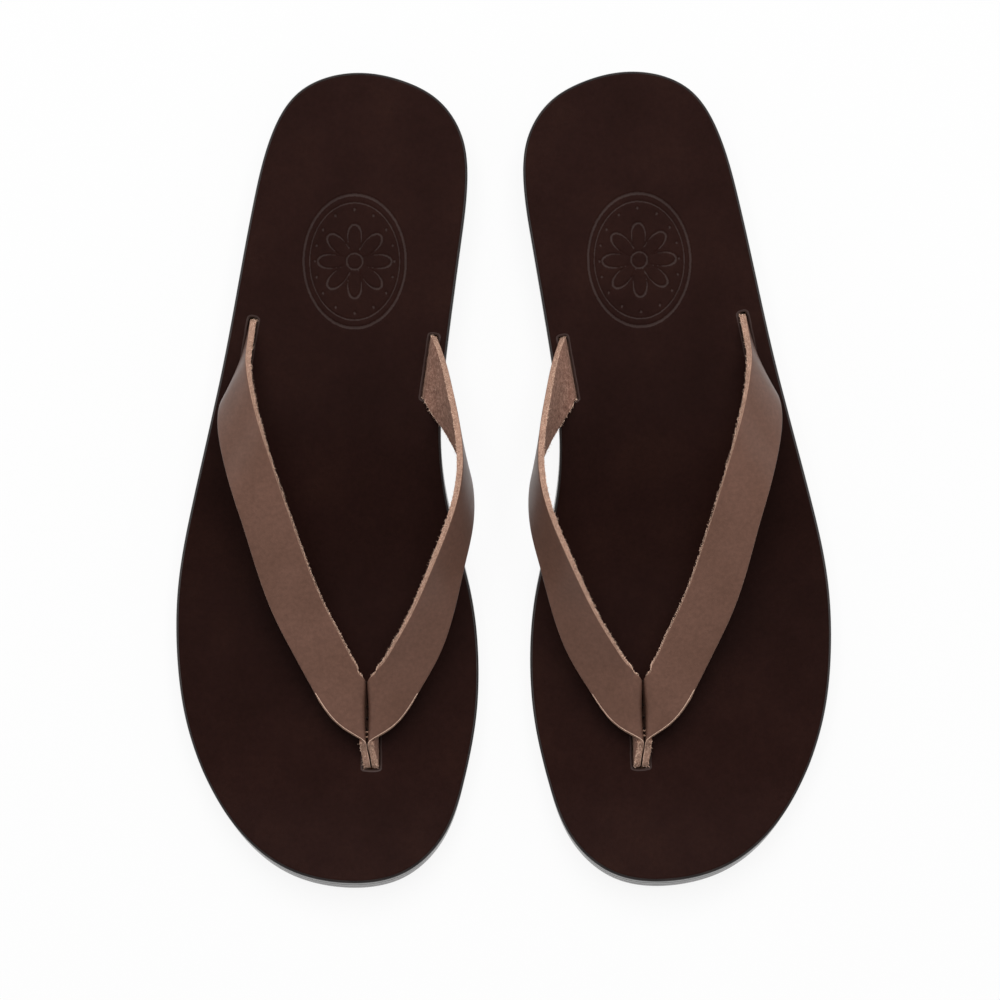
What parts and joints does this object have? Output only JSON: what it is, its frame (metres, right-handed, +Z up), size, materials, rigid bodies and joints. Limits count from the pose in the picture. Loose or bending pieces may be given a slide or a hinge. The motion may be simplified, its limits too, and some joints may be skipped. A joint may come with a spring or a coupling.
{
  "type": "pair of thong sandals",
  "caption": "Pair of flat leather thong sandals: two wide straps rise from rear slits in a layered sole and meet in a seam that runs down between the toes.",
  "frame": {"origin": "on the floor at the middle of the pair's bounding box", "axes": "+Z up, toes towards -Y, heels towards +Y, +X from the right-foot sandal towards the left-foot one"},
  "size_m": [0.2123, 0.2647, 0.0441],
  "materials": {
    "footbed_leather": "smooth dark brown leather, lightly waxed",
    "strap_leather": "smooth taupe brown leather with raw pale cut edges",
    "midsole_board": "matte leatherboard",
    "outsole_leather": "hard sole leather with a dark burnished edge",
    "heel_leather": "stacked leather with a dark burnished edge",
    "sole_rubber": "matte dark rubber",
    "tack_brass": "plain",
    "nail_steel": "plain",
    "stitch_thread": "waxed dark brown thread"
  },
  "bodies": {
    "right_sandal": {"right_footbed": "footbed_leather", "right_midsole": "midsole_board", "right_outsole": "outsole_leather", "right_forefoot_tread": "sole_rubber", "right_heel_lift": "heel_leather", "right_heel_top_piece": "sole_rubber", "right_lateral_strap": "strap_leather", "right_medial_strap": "strap_leather", "right_lateral_tail_tacks": "tack_brass", "right_medial_tail_tacks": "tack_brass", "right_toe_tail_tacks": "tack_brass", "right_heel_nails": "nail_steel", "right_toe_seam_stitches": "stitch_thread"},
    "left_sandal": {"left_footbed": "footbed_leather", "left_midsole": "midsole_board", "left_outsole": "outsole_leather", "left_forefoot_tread": "sole_rubber", "left_heel_lift": "heel_leather", "left_heel_top_piece": "sole_rubber", "left_lateral_strap": "strap_leather", "left_medial_strap": "strap_leather", "left_lateral_tail_tacks": "tack_brass", "left_medial_tail_tacks": "tack_brass", "left_toe_tail_tacks": "tack_brass", "left_heel_nails": "nail_steel", "left_toe_seam_stitches": "stitch_thread"}
  },
  "joints": [
    {"name": "left_sandal_lift", "type": "slide", "parent": "right_sandal", "child": "left_sandal", "axis": [0, 0, 1], "range_m": [0, 0.15]}
  ]
}
